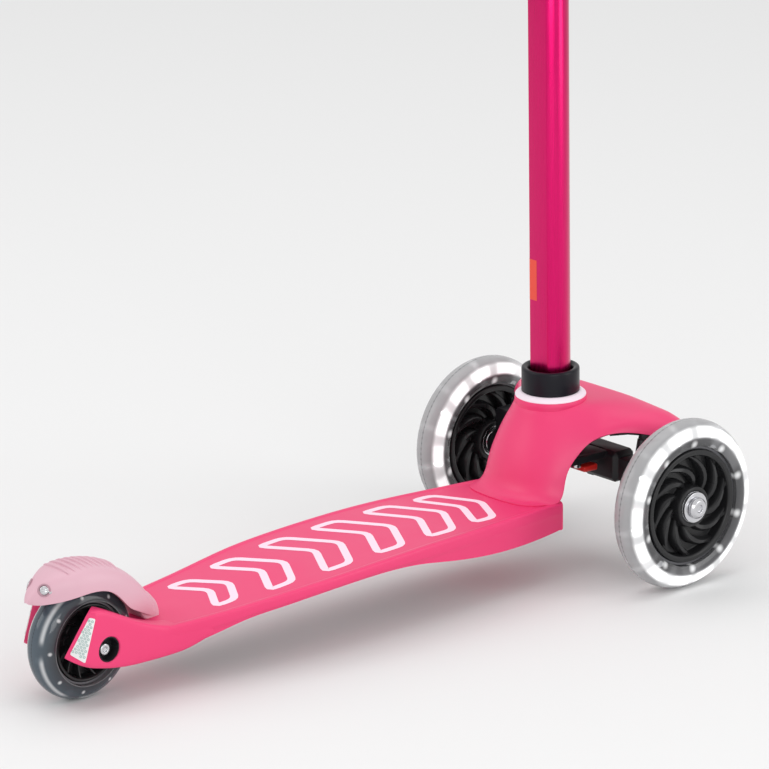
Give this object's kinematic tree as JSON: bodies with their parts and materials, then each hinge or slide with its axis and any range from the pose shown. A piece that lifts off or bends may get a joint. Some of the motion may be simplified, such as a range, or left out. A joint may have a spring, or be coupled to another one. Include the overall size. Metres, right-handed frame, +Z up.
{
  "type": "kick scooter",
  "caption": "Three-wheeled lean-to-steer kick scooter for small children, with a plastic deck, height-adjustable lift-out T-bar, clear light-up wheels and a rear foot brake.",
  "frame": {"origin": "bottom centre of the scooter's bounding box, on the ground", "axes": "+Y forward, +X to the rider's right, +Z up"},
  "size_m": [0.25, 0.556, 0.6034],
  "materials": {
    "pink_plastic": "satin moulded nylon",
    "blush_plastic": "satin pale pink",
    "pale_ring": "semi-gloss",
    "black_plastic": "satin black",
    "magenta_anodised": "magenta anodised",
    "silver_anodised": "clear anodised",
    "steel": "zinc plated",
    "grip_rubber": "soft matte",
    "red_plastic": "satin",
    "white_reflector": "reflective",
    "clear_tyre": "clear polyurethane",
    "light_ring": "translucent"
  },
  "bodies": {
    "frame": {"deck": "pink_plastic", "underside_plate": "black_plastic", "left_reflector": "white_reflector", "right_reflector": "white_reflector", "socket_sleeve": "black_plastic", "head_ring": "pale_ring", "front_carrier": "black_plastic", "left_carrier_screw": "steel", "right_carrier_screw": "steel", "left_kingpin": "steel", "right_kingpin": "steel", "left_arch_liner": "black_plastic", "right_arch_liner": "black_plastic", "latch_pin": "steel", "latch_spring": "steel", "rear_axle_bolt": "steel", "rear_axle_nut": "steel", "brake_pin": "steel", "brake_spring": "steel", "left_steer_spring": "steel", "right_steer_spring": "steel"},
    "left_steering_arm": {"left_steering_arm": "black_plastic", "front_left_axle_bolt": "steel", "front_left_axle_washer": "steel"},
    "right_steering_arm": {"right_steering_arm": "black_plastic", "front_right_axle_bolt": "steel", "front_right_axle_washer": "steel"},
    "tie_rod": {"tie_rod": "steel"},
    "front_left_wheel": {"front_left_tyre": "clear_tyre", "front_left_light_ring": "light_ring", "front_left_core": "black_plastic", "front_left_outer_bearing": "steel", "front_left_inner_bearing": "steel"},
    "front_right_wheel": {"front_right_tyre": "clear_tyre", "front_right_light_ring": "light_ring", "front_right_core": "black_plastic", "front_right_outer_bearing": "steel", "front_right_inner_bearing": "steel"},
    "rear_wheel": {"rear_tyre": "clear_tyre", "rear_light_ring": "light_ring", "rear_core": "black_plastic", "rear_outer_bearing": "steel", "rear_inner_bearing": "steel"},
    "brake": {"brake_fender": "blush_plastic", "brake_pad": "steel", "left_fender_screw": "steel", "right_fender_screw": "steel"},
    "release_lever": {"release_lever": "red_plastic"},
    "t_bar": {"lower_tube": "magenta_anodised", "tube_foot": "black_plastic", "clamp_collar": "black_plastic", "clamp_bolt": "steel", "clamp_nut": "steel", "clamp_pin": "steel"},
    "clamp_lever": {"clamp_lever": "black_plastic"},
    "handlebar": {"upper_tube": "silver_anodised", "bar_tee": "black_plastic", "handlebar": "silver_anodised", "left_grip": "grip_rubber", "right_grip": "grip_rubber"}
  },
  "joints": [
    {"name": "steer_left", "type": "hinge", "parent": "frame", "child": "left_steering_arm", "pos_m": [-0.064, 0.218, 0.082], "axis": [0, 0.2079, 0.9781], "range_deg": [-14, 14], "stiffness_Nm_per_rad": 4, "deforming": ["left_steer_spring", "right_steer_spring"]},
    {"name": "steer_right", "type": "hinge", "parent": "frame", "child": "right_steering_arm", "pos_m": [0.064, 0.218, 0.082], "axis": [0, 0.2079, 0.9781], "range_deg": [-14, 14], "stiffness_Nm_per_rad": 4},
    {"name": "tie_rod_pivot", "type": "hinge", "parent": "left_steering_arm", "child": "tie_rod", "pos_m": [-0.064, 0.2363, 0.06227], "axis": [0, 0.2079, 0.9781], "range_deg": [-14, 14]},
    {"name": "front_left_spin", "type": "hinge", "parent": "left_steering_arm", "child": "front_left_wheel", "pos_m": [-0.101, 0.218, 0.06], "axis": [1, 0, 0], "continuous": true},
    {"name": "front_right_spin", "type": "hinge", "parent": "right_steering_arm", "child": "front_right_wheel", "pos_m": [0.101, 0.218, 0.06], "axis": [1, 0, 0], "continuous": true},
    {"name": "rear_spin", "type": "hinge", "parent": "frame", "child": "rear_wheel", "pos_m": [0, -0.234, 0.04], "axis": [1, 0, 0], "continuous": true},
    {"name": "brake_press", "type": "hinge", "parent": "frame", "child": "brake", "pos_m": [0, -0.174, 0.041], "axis": [1, 0, 0], "range_deg": [0, 4.5], "stiffness_Nm_per_rad": 6, "springref_deg": -2.86},
    {"name": "release_press", "type": "hinge", "parent": "frame", "child": "release_lever", "pos_m": [0, 0.213, 0.075], "axis": [1, 0, 0], "range_deg": [-9, 0], "stiffness_Nm_per_rad": 0.2, "springref_deg": 5.73},
    {"name": "t_bar_lift", "type": "slide", "parent": "frame", "child": "t_bar", "axis": [0, -0.0187, 0.9998], "range_m": [0, 0.12]},
    {"name": "clamp_open", "type": "hinge", "parent": "t_bar", "child": "clamp_lever", "pos_m": [0.0145, 0.20632, 0.43589], "axis": [0, -0.0187, 0.9998], "range_deg": [0, 100]},
    {"name": "height_slide", "type": "slide", "parent": "t_bar", "child": "handlebar", "axis": [0, -0.0187, 0.9998], "range_m": [-0.095, 0.095]}
  ],
  "couplings": [
    {"joint": "steer_right", "follows": "steer_left", "ratio": 1},
    {"joint": "tie_rod_pivot", "follows": "steer_left", "ratio": -1}
  ]
}
